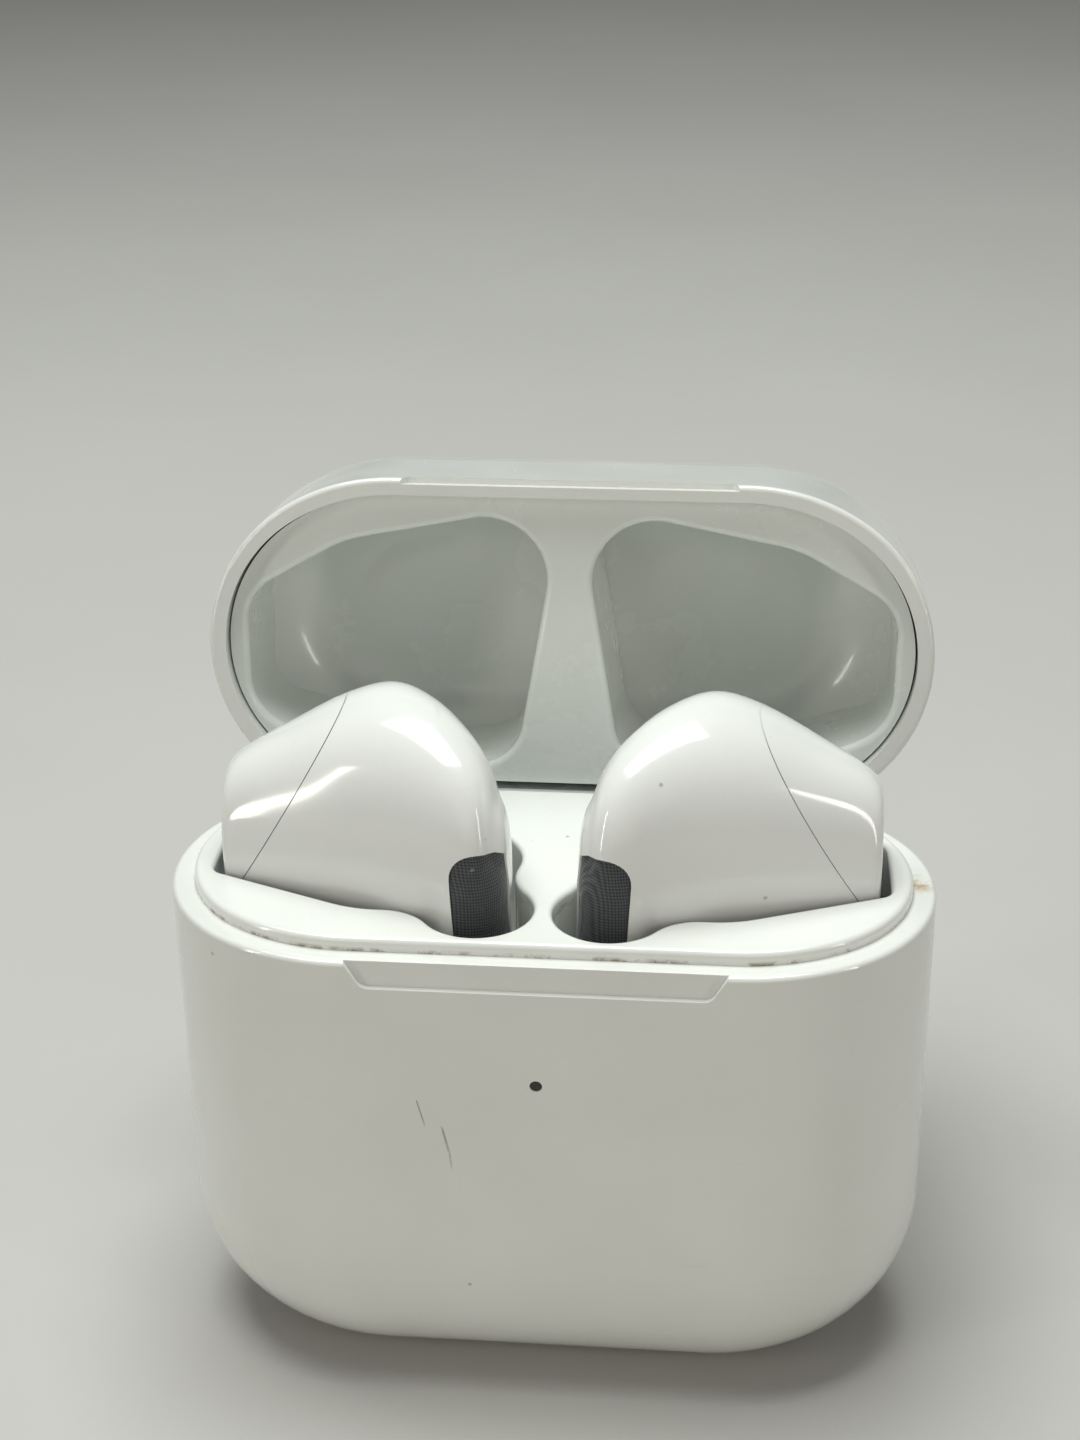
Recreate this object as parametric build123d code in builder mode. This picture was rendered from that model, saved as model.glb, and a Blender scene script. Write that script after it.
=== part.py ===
from build123d import *
from math import atan2, cos, pi, radians, sin, sqrt, tan
import os

os.makedirs("parts", exist_ok=True)

# Wireless earbuds charging case with its lid open and both earbuds seated.
# Millimetres, +Z up, front of the case towards -Y, origin at the centre of the
# flat underside. The lid is drawn closed and then swung to its open stop.
# Right-hand pieces lie on +X and the left-hand ones mirror them.

# ---------------------------------------------------------------- case outline
HALF_WIDTH = 25.0
HALF_DEPTH = 11.85
SHOULDER_R = 14.25          # plan arc next to the straight front and back
TIP_R = 11.4                # plan arc round each end
RIM_Z = 33.6                # parting plane of the base
LID_GAP = 0.15              # between the closed lid and the rim
LID_HEIGHT = 14.7
ROUND_ANGLES = (0, 13, 27, 42, 57, 73, 90)

BASE_ROUND = (10.6, 7.2, 10.6)      # lower edge: pull-in at the ends, at the sides, height
LID_ROUND = (8.4, 6.6, 7.2)         # crown of the lid, same order
BASE_WALL = 1.5
BASE_FLOOR = 1.6
LID_WALL = 1.15
LID_ROOF = 1.0
RIM_SOFTENING = 0.35        # radius along the meeting rims of base and lid
LID_BOTTOM_Z = RIM_Z + LID_GAP
LID_TOP_Z = LID_BOTTOM_Z + LID_HEIGHT

# ---------------------------------------------------------------- hinge
HINGE_Y = 10.8
HINGE_Z = RIM_Z - 0.6
OPEN_ANGLE = 100.0
PIN_R = 0.5
PIN_FIT = 0.04
KNUCKLE_R = 0.9
BARREL_HALF = 14.5
LID_KNUCKLE_HALF = 8.2
KNUCKLE_GAP = 0.2
HINGE_SLOT_HALF = 14.85
HINGE_SLOT_DROP = 1.5
BARREL_ROOM = 0.25          # round the knuckles, in the lid
LEAF_T = 0.4
LEAF_GAP = 0.15             # between the base leaf and the deck's back edge
BASE_LEAF_HEIGHT = 5.4
BASE_LEAF_DROP = 4.0        # from the hinge axis to the middle of the leaf
LEAF_ARM_T = 1.5
LID_LEAF_HEIGHT = 7.2
LID_LEAF_Y = HALF_DEPTH - LID_WALL
SCREW_R = 0.5
SCREW_HEAD_R = 1.0
SCREW_HEAD_T = 0.3
SCREW_FIT = 0.02
BASE_SCREW_X = 11.8
BASE_SCREW_Z = HINGE_Z - 4.5
BASE_SCREW_LENGTH = 1.0
LID_SCREW_X = 5.6
LID_SCREW_Z = HINGE_Z + 5.0
LID_SCREW_LENGTH = 1.1
KEEPOUT_DEPTH = 6.0         # of base wall that the open lid must clear

# ---------------------------------------------------------------- cradle
LIP = 0.9                   # how far the cradle stands above the rim
DECK = 1.3
DECK_TOP_Z = RIM_Z + LIP
SKIRT_DEPTH = 7.4
SKIRT_WALL = 1.0
DECK_BACK_Y = 9.85          # the deck stops here in front of the hinge leaf
WELL_WALL = 0.7
WELL_FLOOR_Z = RIM_Z - 7.6
STEM_WELL = (4.2, -5.9, 3.6)
STEM_BORE_R = 3.4           # below the head's well
STEM_WELL_FLOOR_Z = RIM_Z - 19.4
# Plan circles (x, y, radius) that the head's well wraps round
HEAD_WELL = ((6.2, 0.5, 4.2), (10.6, 0.9, 7.4), (21.0, -1.75, 1.0), (20.7, 3.4, 1.2))
WELL_BLEND = 3.6            # hollow curve between the head's well and the stem's
DECK_EDGE_R = 0.4
WELL_EDGE_R = 0.35
HINGE_NOTCH_DROP = 0.35     # the deck's underside is cut this far above the rim at the hinge

# ---------------------------------------------------------------- lid liner
LINER_FACE_Z = RIM_Z + 1.15
LINER_SKIN = 0.55
LINER_PLATE = 1.6           # thickness of the liner's flat face
LINER_RIB = 0.8             # wall round each hollow, behind the face
LINER_EDGE_R = 0.45
LINER_HINGE_RECESS = 8.0
# Plan circles that each hollow of the liner wraps round
POCKET = (
    (5.9, -4.7, 4.35),
    (13.0, 0.0, 7.6),
    (11.5, 2.2, 6.9),
    (19.2, -1.4, 3.3),
    (18.6, 2.6, 3.8),
    (6.6, 5.2, 3.4),
)

# ---------------------------------------------------------------- earbud
STEM_X = 4.4
STEM_Y = -5.9
STEM_R = 2.6
STEM_TOP_Z = RIM_Z + 1.0
STEM_BOTTOM_Z = RIM_Z - 18.9
TAIL_RING = 1.4
BUD_WALL = 0.85
STEM_WALL = 0.6
BUD_CORE_Z = RIM_Z + 3.0
BUD_CORE_Y = 0.9
# Head cross-sections across X: x, centre y, half-width, top and bottom above the rim
HEAD_SECTIONS = (
    (3.0, -3.9, 3.6, 6.8, -3.2),
    (4.8, -2.9, 5.2, 9.4, -5.0),
    (7.4, -0.8, 6.3, 11.7, -6.1),
    (10.4, 0.9, 7.1, 12.6, -6.5),
    (13.6, 1.2, 6.4, 11.5, -5.8),
    (17.2, 1.1, 5.1, 9.5, -4.8),
    (20.2, 0.9, 3.8, 7.6, -4.0),
    (21.4, 0.8, 3.4, 6.4, -3.4),
)
BUD_END_X = HEAD_SECTIONS[-1][0]
SEAM_TOP = (13.0, 12.2)     # the parting seam of the head, x and height above the rim
SEAM_BOTTOM = (20.2, 0.0)
VENT_X = 3.9
VENT_WIDTH = 3.7
VENT_Z = (RIM_Z - 2.6, RIM_Z + 5.7)
VENT_T = 0.4
NOZZLE_SIZE = (4.4, 6.0)
NOZZLE_Z = RIM_Z + 2.3
MESH_T = 0.3
TAIL_MESH_RISE = 0.25
STEM_BOARD_SIZE = (3.2, 0.8, 14.0)
STEM_BOARD_RISE = 2.2
# Discs inside the head: x, radius, thickness
DRIVER = (14.6, 4.4, 3.0)
BUD_CELL = (9.4, 3.9, 4.2)
DISC_EDGE_R = 0.4
BUD_MAGNET = (11.0, 1.6, 1.8)
BUD_MAGNET_Z = RIM_Z - 5.0

# ---------------------------------------------------------------- details
NOTCH_HALF = 11.9
NOTCH_HEIGHT = 1.8
NOTCH_DEPTH = 0.4
NOTCH_SLOPE = 60            # degrees, of its two ends
NOTCH_CORNER_R = 0.9
LID_NOTCH_HEIGHT = 0.7
LED_R = 0.4
LED_Z = RIM_Z - 8.5
LED_FIT = 0.02
PORT_SIZE = (9.2, 3.5)
BUTTON_R = 2.6
BUTTON_FIT = 0.12
BUTTON_Z = 17.2
BUTTON_FLANGE_R = 3.3
BUTTON_EDGE_R = 0.2
BUTTON_STEM = 0.5           # reaches past the wall to the flange
BUTTON_FLANGE_T = 0.5
INNER_BACK_Y = HALF_DEPTH - BASE_WALL
FLUSH = 0.1                 # light pipe and nozzle mesh sit this far below their surface
CLEAR = 0.12                # assembly clearance between nested mouldings

# ---------------------------------------------------------------- inside the base
RECEPTACLE_SIZE = (8.94, 3.26)
RECEPTACLE_HEIGHT = 7.3
RECEPTACLE_Z = 0.4
RECEPTACLE_SHEET = 0.3
RECEPTACLE_BACK = 0.5
TONGUE_SIZE = (6.7, 0.7)
TONGUE_Z = 1.1
TONGUE_EDGE_R = 0.2
BOARD_SIZE = (13.0, 14.0, 0.8)
BOARD_Z = RECEPTACLE_Z + RECEPTACLE_HEIGHT
BOARD_CORNER_R = 0.8
# Components on the board: centre x, centre y, width, depth, height
BOARD_PARTS = (
    (0.0, 3.6, 5.0, 4.0, 0.9),
    (-3.6, -3.4, 3.0, 3.0, 0.7),
)
CELL_SIZE = (10.8, 10.4, 11.5)
CELL_CENTRE = (13.8, -1.0)
CELL_Z = 6.4
CELL_CORNER_R = 1.4
FOAM_T = 0.8
FOAM_INSET = 0.6
COIL_R = (4.2, 7.4)
COIL_T = 0.7
COIL_GAP = 0.1              # between the back wall and the coil
FERRITE_MARGIN = 0.2
FERRITE_T = 0.5
SWITCH_SIZE = 7.0
SWITCH_T = 0.6
SWITCH_GAP = 1.5            # from the back wall to the plunger's tip
PLUNGER_R = 1.7
PLUNGER_T = 0.7
LED_BOARD_SIZE = (1.5, 0.35, 3.0)
LED_BOARD_DROP = 0.6
MAGNET_X = 14.6
BASE_MAGNET_SIZE = (3.2, 1.5, 2.0)
BASE_MAGNET_Y = -7.65
LID_MAGNET_SIZE = (3.2, 1.4, 2.0)
LID_MAGNET_Y = -9.0
LID_MAGNET_RISE = 0.55      # above the liner's face
MAGNET_FIT = 0.05
WELL_MAGNET = (11.5, 0.9, 2.2, 1.6)     # x, y, radius, thickness
CONTACT_R = 0.35
CONTACT_HEIGHT = 0.35
CONTACT_STEP = 1.1

UPWARD = (Align.CENTER, Align.CENTER, Align.MIN)
DOWNWARD = (Align.CENTER, Align.CENTER, Align.MAX)

hinge_axis = Axis((0, HINGE_Y, HINGE_Z), (1, 0, 0))
hinge_plane = Plane((0, HINGE_Y, HINGE_Z), x_dir=(0, 1, 0), z_dir=(1, 0, 0))


# ---------------------------------------------------------------- helpers
def save(part, name):
    """Label one finished piece and write it under its own name."""
    part.label = name
    export_step(part, "parts/" + name + ".step")


def save_opened(part, name):
    """Write a lid piece, drawn closed, as it stands at the open stop."""
    save(part.rotate(hinge_axis, -OPEN_ANGLE), name)


def save_pair(part, name):
    """Write a right-hand earbud piece and its left-hand twin."""
    save(part, "bud_right_" + name)
    save(part.mirror(Plane.YZ), "bud_left_" + name)


def case_outline(inset_x=0.0, inset_y=0.0):
    """Add the case's plan outline to the sketch being built.

    Straight front and back, with two tangent arcs round each end. Equal insets
    give a parallel outline; unequal ones pull the ends in more than the sides.
    """
    half_w = HALF_WIDTH - inset_x
    half_d = HALF_DEPTH - inset_y
    scale = half_d / HALF_DEPTH
    parallel = abs(inset_x - inset_y) < 1e-9
    shoulder_r = SHOULDER_R - inset_y if parallel else SHOULDER_R * scale
    tip_r = TIP_R - inset_y if parallel else TIP_R * scale
    rise = shoulder_r - half_d
    step = shoulder_r - tip_r
    reach = sqrt(step**2 - rise**2)
    shoulder_x = half_w - tip_r - reach
    join_angle = atan2(rise, reach)
    mid_angle = (join_angle + pi / 2) / 2
    join_x = shoulder_x + shoulder_r * cos(join_angle)
    join_y = shoulder_r * sin(join_angle) - rise
    mid_x = shoulder_x + shoulder_r * cos(mid_angle)
    mid_y = shoulder_r * sin(mid_angle) - rise
    with BuildLine() as outline:
        Line((0, half_d), (shoulder_x, half_d))
        ThreePointArc((shoulder_x, half_d), (mid_x, mid_y), (join_x, join_y))
        ThreePointArc((join_x, join_y), (half_w, 0), (join_x, -join_y))
        ThreePointArc((join_x, -join_y), (mid_x, -mid_y), (shoulder_x, -half_d))
        Line((shoulder_x, -half_d), (0, -half_d))
        mirror(about=Plane.YZ)
    make_face(outline.edges())


def rounded_case(wall, end_z, rim_z, rounding):
    """Case-shaped solid from a straight rim to an end whose edge is rounded.

    The wall is the inset from the outer skin. The end may lie below the rim,
    as the base's underside does, or above it, as the lid's crown does.
    """
    round_x, round_y, round_z = (size - wall for size in rounding)
    up = 1 if rim_z > end_z else -1
    levels = []
    for angle in ROUND_ANGLES:
        pull = 1 - sin(radians(angle))
        height = end_z + up * round_z * (1 - cos(radians(angle)))
        with BuildSketch(Plane.XY.offset(height)) as level:
            case_outline(wall + round_x * pull, wall + round_y * pull)
        levels.append(level.sketch.face())
    loft(levels)
    extrude(levels[-1], amount=rim_z - end_z - up * round_z)


def on_stem_well(edge):
    """True for an upright edge that stands on the stem well's circle."""
    x, y, radius = STEM_WELL
    foot = edge.center()
    return abs(sqrt((foot.X - x) ** 2 + (foot.Y - y) ** 2) - radius) < 0.01


def rounded_hull(circles, grow=0.0):
    """Add the outline wrapped round some circles (x, y, radius), grown if asked."""
    for x, y, radius in circles:
        with Locations((x, y)):
            Circle(radius + grow)
    make_hull()


def head_solid(shrink):
    """Loft the earbud's head from its cross-sections, smaller all round by shrink."""
    last = len(HEAD_SECTIONS) - 1
    sections = []
    for index, (x, centre_y, half_y, top, bottom) in enumerate(HEAD_SECTIONS):
        station = x + shrink if index == 0 else x - shrink if index == last else x
        half_z = (top - bottom) / 2
        with BuildSketch(Plane.YZ.offset(station)) as section:
            with Locations((centre_y, RIM_Z + (top + bottom) / 2)):
                Ellipse(half_y - shrink, half_z - shrink)
        sections.append(section.sketch.face())
    loft(sections)


def bar_along_x(radius, low_x, high_x):
    """Round bar on the hinge axis between two X positions."""
    with BuildSketch(hinge_plane.offset(low_x)) as disc:
        Circle(radius)
    extrude(disc.sketch, amount=high_x - low_x)


# ================================================================ base body
with BuildPart() as base_shell:
    rounded_case(0, 0, RIM_Z, BASE_ROUND)
    fillet(base_shell.faces().sort_by(Axis.Z)[-1].edges(), RIM_SOFTENING)
    with BuildPart(mode=Mode.PRIVATE) as base_cavity:
        rounded_case(BASE_WALL, BASE_FLOOR, RIM_Z + 1, BASE_ROUND)
    add(base_cavity.part, mode=Mode.SUBTRACT)
    # thumb notch at the front of the rim
    with BuildSketch(Plane.XZ.offset(HALF_DEPTH + 1)) as notch:
        with Locations((0, RIM_Z)):
            widest = NOTCH_HALF + NOTCH_HEIGHT / tan(radians(NOTCH_SLOPE))
            Trapezoid(2 * widest, 2 * NOTCH_HEIGHT, NOTCH_SLOPE, rotation=180)
        fillet(notch.vertices().group_by(Axis.Y)[0], NOTCH_CORNER_R)
    extrude(amount=-1 - NOTCH_DEPTH, mode=Mode.SUBTRACT)
    # status light, setup button and charging port
    with Locations(Location((0, -HALF_DEPTH + BASE_WALL / 2, LED_Z), (90, 0, 0))):
        Cylinder(LED_R, 2 * BASE_WALL, mode=Mode.SUBTRACT)
    with Locations(Location((0, HALF_DEPTH - BASE_WALL / 2, BUTTON_Z), (90, 0, 0))):
        Cylinder(BUTTON_R + BUTTON_FIT, 2 * BASE_WALL, mode=Mode.SUBTRACT)
    with BuildSketch(Plane.XY.offset(-1)):
        SlotOverall(*PORT_SIZE)
    extrude(amount=BASE_FLOOR + 2, mode=Mode.SUBTRACT)
    # slot for the hinge in the back wall
    with Locations((0, HALF_DEPTH, HINGE_Z - HINGE_SLOT_DROP)):
        Box(
            2 * HINGE_SLOT_HALF,
            5,
            5,
            align=(Align.CENTER, Align.CENTER, Align.MIN),
            mode=Mode.SUBTRACT,
        )
save(base_shell.part, "base_shell")

with BuildPart() as cradle:
    with BuildSketch(Plane.XY.offset(DECK_TOP_Z)):
        case_outline(BASE_WALL, BASE_WALL)
    extrude(amount=-LIP - SKIRT_DEPTH)
    fillet(cradle.faces().sort_by(Axis.Z)[-1].edges(), DECK_EDGE_R)
    # hollow under the deck, then the two wells and their walls
    with BuildSketch(Plane.XY.offset(DECK_TOP_Z - DECK)):
        case_outline(BASE_WALL + SKIRT_WALL, BASE_WALL + SKIRT_WALL)
    extrude(amount=-SKIRT_DEPTH, mode=Mode.SUBTRACT)
    with BuildPart(mode=Mode.PRIVATE) as well_walls:
        with BuildSketch(Plane.XY.offset(WELL_FLOOR_Z - WELL_WALL)):
            rounded_hull(HEAD_WELL, WELL_WALL)
        extrude(amount=RIM_Z - WELL_FLOOR_Z + WELL_WALL)
        with BuildSketch(Plane.XY.offset(STEM_WELL_FLOOR_Z - WELL_WALL)):
            with Locations(STEM_WELL[:2]):
                Circle(STEM_BORE_R + WELL_WALL)
        extrude(amount=RIM_Z - STEM_WELL_FLOOR_Z + WELL_WALL)
        mirror(about=Plane.YZ)
    with BuildPart(mode=Mode.PRIVATE) as wells:
        with BuildSketch(Plane.XY.offset(WELL_FLOOR_Z)):
            rounded_hull(HEAD_WELL)
            with Locations(STEM_WELL[:2]):
                Circle(STEM_WELL[2])
        extrude(amount=DECK_TOP_Z - WELL_FLOOR_Z + 1)
        fillet(wells.edges().filter_by(Axis.Z).filter_by(on_stem_well), WELL_BLEND)
        with BuildSketch(Plane.XY.offset(STEM_WELL_FLOOR_Z)):
            with Locations(STEM_WELL[:2]):
                Circle(STEM_BORE_R)
        extrude(amount=WELL_FLOOR_Z - STEM_WELL_FLOOR_Z)
        mirror(about=Plane.YZ)
    add(well_walls.part)
    add(wells.part, mode=Mode.SUBTRACT)
    well_edges = cradle.faces().sort_by(Axis.Z)[-1].inner_wires()
    fillet([edge for wire in well_edges for edge in wire.edges()], WELL_EDGE_R)
    # room for the hinge barrel and both of its leaves behind the deck
    with Locations((0, DECK_BACK_Y, DECK_TOP_Z)):
        Box(
            2 * HINGE_SLOT_HALF,
            4,
            2 * DECK,
            align=(Align.CENTER, Align.MIN, Align.CENTER),
            mode=Mode.SUBTRACT,
        )
    with Locations((0, DECK_BACK_Y - LEAF_GAP * 2, RIM_Z + HINGE_NOTCH_DROP)):
        Box(
            2 * HINGE_SLOT_HALF,
            4,
            2 * SKIRT_DEPTH,
            align=(Align.CENTER, Align.MIN, Align.MAX),
            mode=Mode.SUBTRACT,
        )
    for side in (-1, 1):
        with Locations(Location((side * BASE_SCREW_X, DECK_BACK_Y, BASE_SCREW_Z), (90, 0, 0))):
            Cylinder(SCREW_R, 1.6, mode=Mode.SUBTRACT)
save(cradle.part, "cradle")

with BuildPart() as hinge_base_leaf:
    with BuildSketch(Plane.XZ.offset(-DECK_BACK_Y + LEAF_GAP)):
        with Locations((0, HINGE_Z - BASE_LEAF_DROP)):
            Rectangle(2 * BARREL_HALF - 0.6, BASE_LEAF_HEIGHT)
    extrude(amount=-LEAF_T)
    arm_x = (BARREL_HALF + LID_KNUCKLE_HALF + KNUCKLE_GAP) / 2
    for side in (-1, 1):
        with Locations((side * arm_x, DECK_BACK_Y - LEAF_GAP, HINGE_Z)):
            Box(
                BARREL_HALF - LID_KNUCKLE_HALF - KNUCKLE_GAP - 0.1,
                HINGE_Y - DECK_BACK_Y + LEAF_GAP,
                LEAF_ARM_T,
                align=(Align.CENTER, Align.MIN, Align.MAX),
            )
    bar_along_x(KNUCKLE_R, LID_KNUCKLE_HALF + KNUCKLE_GAP, BARREL_HALF)
    bar_along_x(KNUCKLE_R, -BARREL_HALF, -LID_KNUCKLE_HALF - KNUCKLE_GAP)
    with BuildPart(mode=Mode.PRIVATE) as base_leaf_bore:
        bar_along_x(PIN_R + PIN_FIT, -BARREL_HALF - 1, BARREL_HALF + 1)
    add(base_leaf_bore.part, mode=Mode.SUBTRACT)
    for side in (-1, 1):
        with Locations(Location((side * BASE_SCREW_X, DECK_BACK_Y, BASE_SCREW_Z), (90, 0, 0))):
            Cylinder(SCREW_R, 2, mode=Mode.SUBTRACT)
save(hinge_base_leaf.part, "hinge_base_leaf")

with BuildPart() as hinge_pin:
    bar_along_x(PIN_R, -BARREL_HALF, BARREL_HALF)
    chamfer(hinge_pin.edges(), 0.1)
save(hinge_pin.part, "hinge_pin")

with BuildPart() as base_hinge_screws:
    head_y = DECK_BACK_Y - LEAF_GAP + LEAF_T
    for side in (-1, 1):
        with Locations(Location((side * BASE_SCREW_X, head_y, BASE_SCREW_Z), (-90, 0, 0))):
            Cylinder(SCREW_HEAD_R, SCREW_HEAD_T - 0.1, align=UPWARD)
            Cylinder(SCREW_R - SCREW_FIT, BASE_SCREW_LENGTH, align=DOWNWARD)
save(base_hinge_screws.part, "base_hinge_screws")

# ---------------------------------------------------------------- base electronics
with BuildPart() as battery_cells:
    for side in (-1, 1):
        with Locations((side * CELL_CENTRE[0], CELL_CENTRE[1], CELL_Z)):
            Box(*CELL_SIZE, align=UPWARD)
    fillet(battery_cells.edges().filter_by(Axis.Z), CELL_CORNER_R)
save(battery_cells.part, "battery_cells")

with BuildPart() as battery_foam:
    for side in (-1, 1):
        with Locations((side * CELL_CENTRE[0], CELL_CENTRE[1], CELL_Z + CELL_SIZE[2])):
            Box(CELL_SIZE[0] - 2 * FOAM_INSET, CELL_SIZE[1] - 2 * FOAM_INSET, FOAM_T, align=UPWARD)
save(battery_foam.part, "battery_foam")

with BuildPart() as usb_receptacle:
    with BuildSketch(Plane.XY.offset(RECEPTACLE_Z)):
        SlotOverall(*RECEPTACLE_SIZE)
        offset(amount=-RECEPTACLE_SHEET, kind=Kind.ARC, mode=Mode.SUBTRACT)
    extrude(amount=RECEPTACLE_HEIGHT)
    with BuildSketch(Plane.XY.offset(BOARD_Z - RECEPTACLE_BACK)):
        SlotOverall(RECEPTACLE_SIZE[0] - RECEPTACLE_SHEET, RECEPTACLE_SIZE[1] - RECEPTACLE_SHEET)
    extrude(amount=RECEPTACLE_BACK)
save(usb_receptacle.part, "usb_receptacle")

with BuildPart() as usb_tongue:
    with Locations((0, 0, TONGUE_Z)):
        Box(*TONGUE_SIZE, BOARD_Z - RECEPTACLE_BACK - TONGUE_Z, align=UPWARD)
    fillet(usb_tongue.faces().sort_by(Axis.Z)[0].edges().filter_by(Axis.X), TONGUE_EDGE_R)
save(usb_tongue.part, "usb_tongue")

with BuildPart() as main_board:
    with Locations((0, 0, BOARD_Z)):
        Box(*BOARD_SIZE, align=UPWARD)
    fillet(main_board.edges().filter_by(Axis.Z), BOARD_CORNER_R)
    for centre_x, centre_y, width, depth, height in BOARD_PARTS:
        with Locations((centre_x, centre_y, BOARD_Z + BOARD_SIZE[2])):
            Box(width, depth, height, align=UPWARD)
save(main_board.part, "main_board")

with BuildPart() as charging_coil:
    with BuildSketch(Plane.XZ.offset(-INNER_BACK_Y + COIL_GAP)):
        with Locations((0, BUTTON_Z)):
            Circle(COIL_R[1])
            Circle(COIL_R[0], mode=Mode.SUBTRACT)
    extrude(amount=COIL_T)
save(charging_coil.part, "charging_coil")

with BuildPart() as coil_ferrite:
    with BuildSketch(Plane.XZ.offset(-INNER_BACK_Y + COIL_GAP + COIL_T)):
        with Locations((0, BUTTON_Z)):
            Circle(COIL_R[1] + FERRITE_MARGIN)
            Circle(COIL_R[0] - FERRITE_MARGIN, mode=Mode.SUBTRACT)
    extrude(amount=FERRITE_T)
save(coil_ferrite.part, "coil_ferrite")

with BuildPart() as button_switch:
    with BuildSketch(Plane.XZ.offset(-INNER_BACK_Y + SWITCH_GAP + PLUNGER_T)):
        with Locations((0, BUTTON_Z)):
            Rectangle(SWITCH_SIZE, SWITCH_SIZE)
    extrude(amount=SWITCH_T)
    with BuildSketch(Plane.XZ.offset(-INNER_BACK_Y + SWITCH_GAP)):
        with Locations((0, BUTTON_Z)):
            Circle(PLUNGER_R)
    extrude(amount=PLUNGER_T)
save(button_switch.part, "button_switch")

with BuildPart() as led_light_pipe:
    with Locations(Location((0, -HALF_DEPTH + FLUSH, LED_Z), (90, 0, 0))):
        Cylinder(LED_R - LED_FIT, BASE_WALL - FLUSH, align=DOWNWARD)
save(led_light_pipe.part, "led_light_pipe")

with BuildPart() as led_board:
    with Locations((0, -INNER_BACK_Y, LED_Z - LED_BOARD_DROP)):
        Box(*LED_BOARD_SIZE, align=(Align.CENTER, Align.MIN, Align.CENTER))
save(led_board.part, "led_board")

with BuildPart() as closing_magnets:
    for side in (-1, 1):
        with Locations((side * MAGNET_X, BASE_MAGNET_Y, DECK_TOP_Z - DECK)):
            Box(*BASE_MAGNET_SIZE, align=DOWNWARD)
save(closing_magnets.part, "closing_magnets")

with BuildPart() as well_magnets:
    magnet_x, magnet_y, magnet_r, magnet_t = WELL_MAGNET
    for side in (-1, 1):
        with Locations((side * magnet_x, magnet_y, WELL_FLOOR_Z - WELL_WALL)):
            Cylinder(magnet_r, magnet_t, align=DOWNWARD)
save(well_magnets.part, "well_magnets")

with BuildPart() as contact_pins:
    for side in (-1, 1):
        for step in (-CONTACT_STEP, CONTACT_STEP):
            with Locations((side * STEM_WELL[0], STEM_Y + step, STEM_WELL_FLOOR_Z)):
                Cylinder(CONTACT_R, CONTACT_HEIGHT, align=UPWARD)
save(contact_pins.part, "contact_pins")

# ================================================================ setup button
with BuildPart() as setup_button:
    with BuildSketch(Plane.XZ.offset(-HALF_DEPTH)):
        with Locations((0, BUTTON_Z)):
            Circle(BUTTON_R)
    extrude(amount=BASE_WALL + BUTTON_STEM)
    fillet(setup_button.faces().sort_by(Axis.Y)[-1].edges(), BUTTON_EDGE_R)
    with BuildSketch(Plane.XZ.offset(-INNER_BACK_Y + FLUSH)):
        with Locations((0, BUTTON_Z)):
            Circle(BUTTON_FLANGE_R)
    extrude(amount=BUTTON_FLANGE_T)
save(setup_button.part, "setup_button")

# ================================================================ lid body
with BuildPart() as lid_shell:
    rounded_case(0, LID_TOP_Z, LID_BOTTOM_Z, LID_ROUND)
    fillet(lid_shell.faces().sort_by(Axis.Z)[0].edges(), RIM_SOFTENING)
    with BuildPart(mode=Mode.PRIVATE) as lid_cavity:
        rounded_case(LID_WALL, LID_TOP_Z - LID_ROOF, LID_BOTTOM_Z - 1, LID_ROUND)
    add(lid_cavity.part, mode=Mode.SUBTRACT)
    # the front edge is relieved to match the thumb notch
    with BuildSketch(Plane.XZ.offset(HALF_DEPTH + 1)):
        with Locations((0, LID_BOTTOM_Z)):
            Trapezoid(2 * NOTCH_HALF, 2 * LID_NOTCH_HEIGHT, NOTCH_SLOPE)
    extrude(amount=-1 - NOTCH_DEPTH, mode=Mode.SUBTRACT)
    # clearance round the hinge barrel, and for the screws of the leaf
    with BuildPart(mode=Mode.PRIVATE) as barrel_room:
        bar_along_x(KNUCKLE_R + BARREL_ROOM, -HINGE_SLOT_HALF, HINGE_SLOT_HALF)
    add(barrel_room.part, mode=Mode.SUBTRACT)
    for side in (-1, 1):
        with Locations(Location((side * LID_SCREW_X, LID_LEAF_Y, LID_SCREW_Z), (90, 0, 0))):
            Cylinder(SCREW_R, 1.5, mode=Mode.SUBTRACT)
    # beside the slot the lower back edge is cut away where it would meet the base
    with BuildPart(mode=Mode.PRIVATE) as base_keepout:
        with BuildSketch(Plane.XY.offset(RIM_Z)):
            case_outline(-LID_GAP, -LID_GAP)
        extrude(amount=-KEEPOUT_DEPTH)
        with Locations((0, HALF_DEPTH, RIM_Z)):
            Box(40, 8, 20, mode=Mode.INTERSECT)
    add(base_keepout.part.rotate(hinge_axis, OPEN_ANGLE), mode=Mode.SUBTRACT)
save_opened(lid_shell.part, "lid_shell")

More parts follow.
